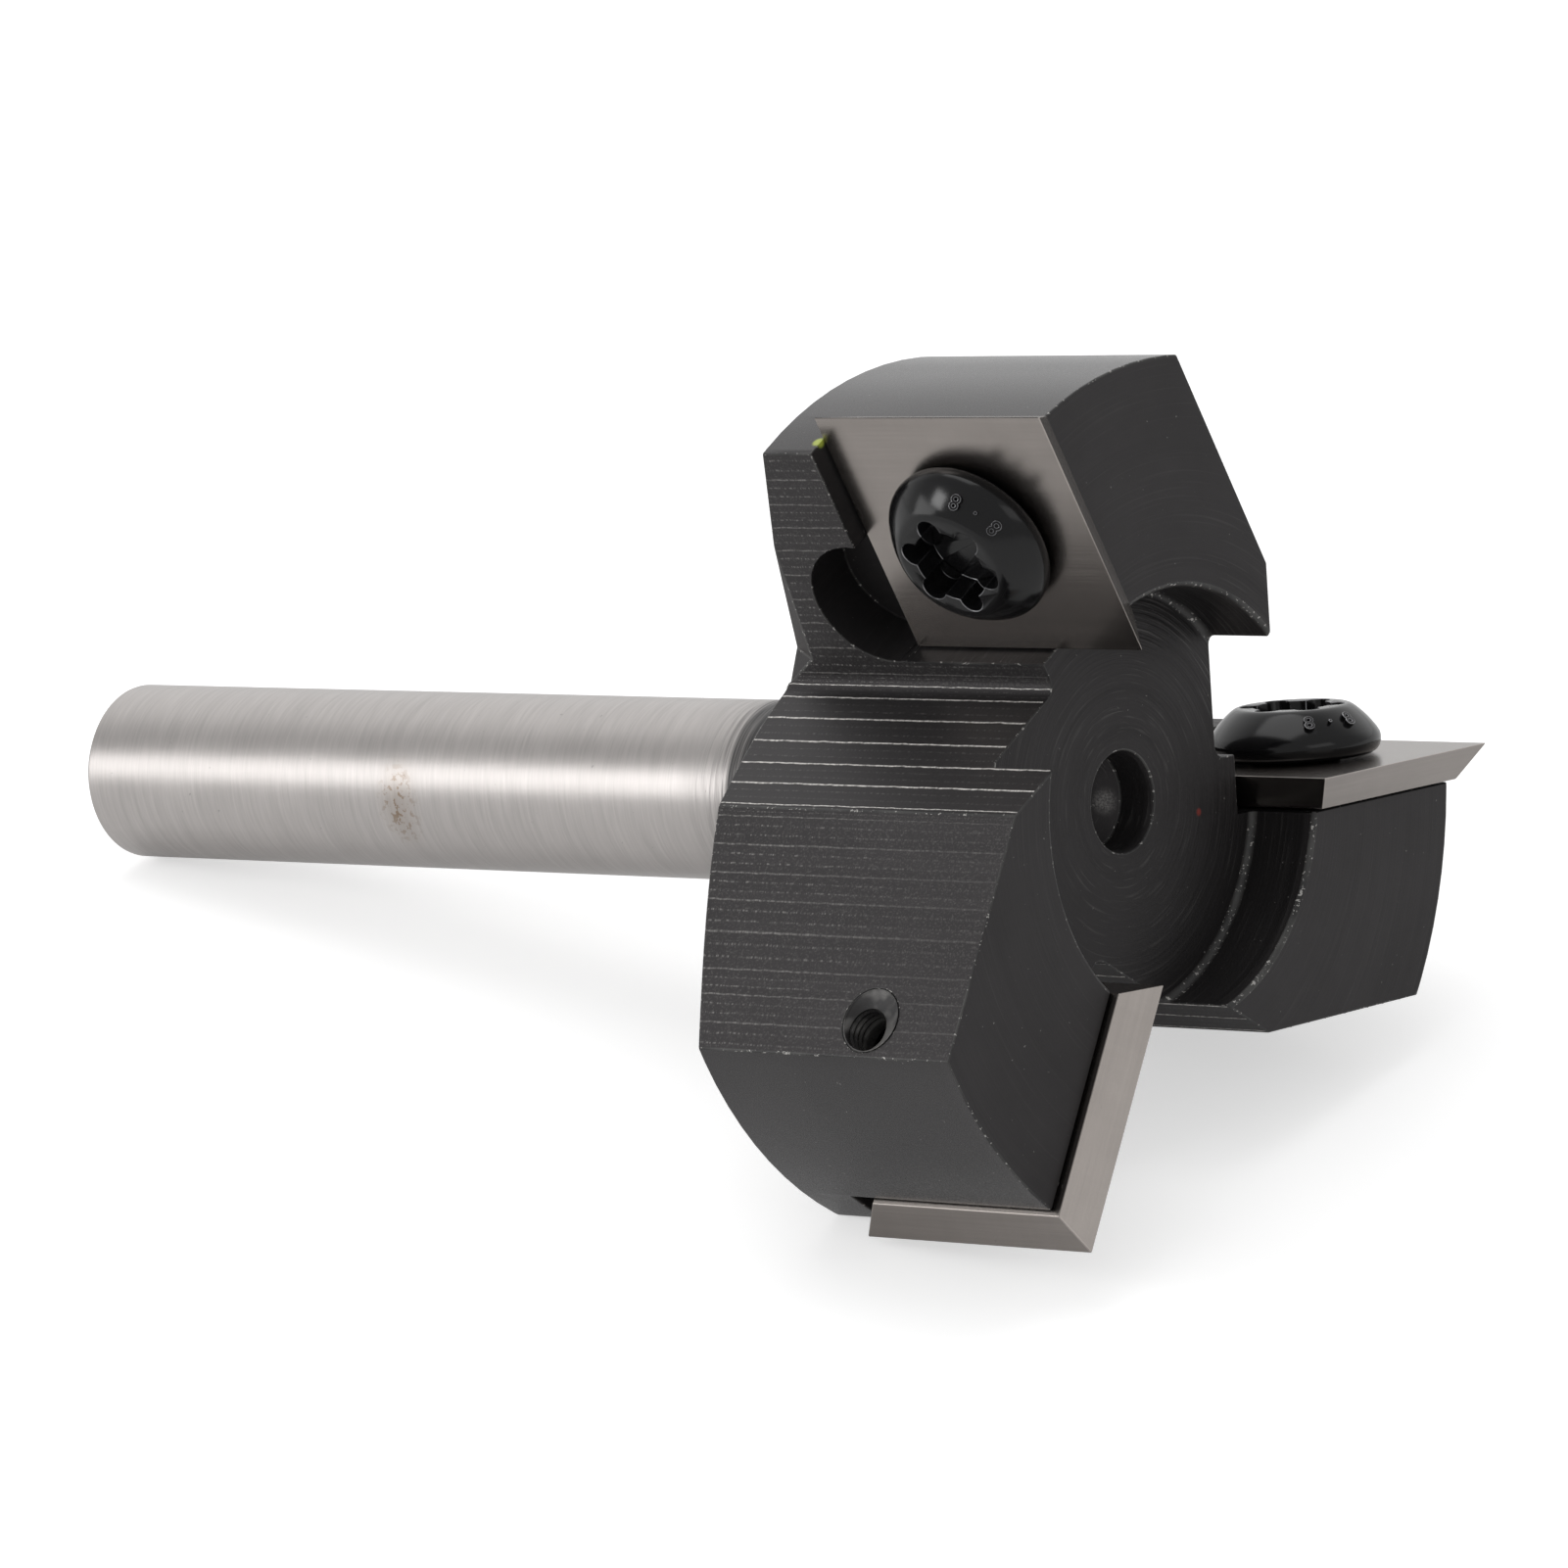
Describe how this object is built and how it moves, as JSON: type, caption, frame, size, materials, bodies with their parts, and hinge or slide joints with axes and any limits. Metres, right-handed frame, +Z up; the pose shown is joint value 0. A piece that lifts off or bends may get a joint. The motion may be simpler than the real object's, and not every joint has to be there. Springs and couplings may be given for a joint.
{
  "type": "surfacing router bit",
  "caption": "Surfacing router bit: a black steel body with wings that carry square carbide inserts held by button-head screws, on a plain round shank.",
  "frame": {"origin": "on the surface that the tool lies on, under the middle of its bounding box", "axes": "+Z up; +X level, from the shank end towards the cutting end; the tool's own axis rises 12.2 degrees from +X towards +Z in the XZ plane, as it rests on two wings and the shank end"},
  "size_m": [0.0648, 0.0382, 0.036],
  "materials": {
    "black_oxide": "matte black oxide, with a ground bright shank",
    "ground_carbide": "satin ground cemented carbide",
    "black_screw": "glossy black hardened steel"
  },
  "bodies": {
    "root": {"cutter_body": "black_oxide", "insert_1": "ground_carbide", "insert_2": "ground_carbide", "insert_3": "ground_carbide", "insert_screw_1": "black_screw", "insert_screw_2": "black_screw", "insert_screw_3": "black_screw"}
  },
  "joints": []
}
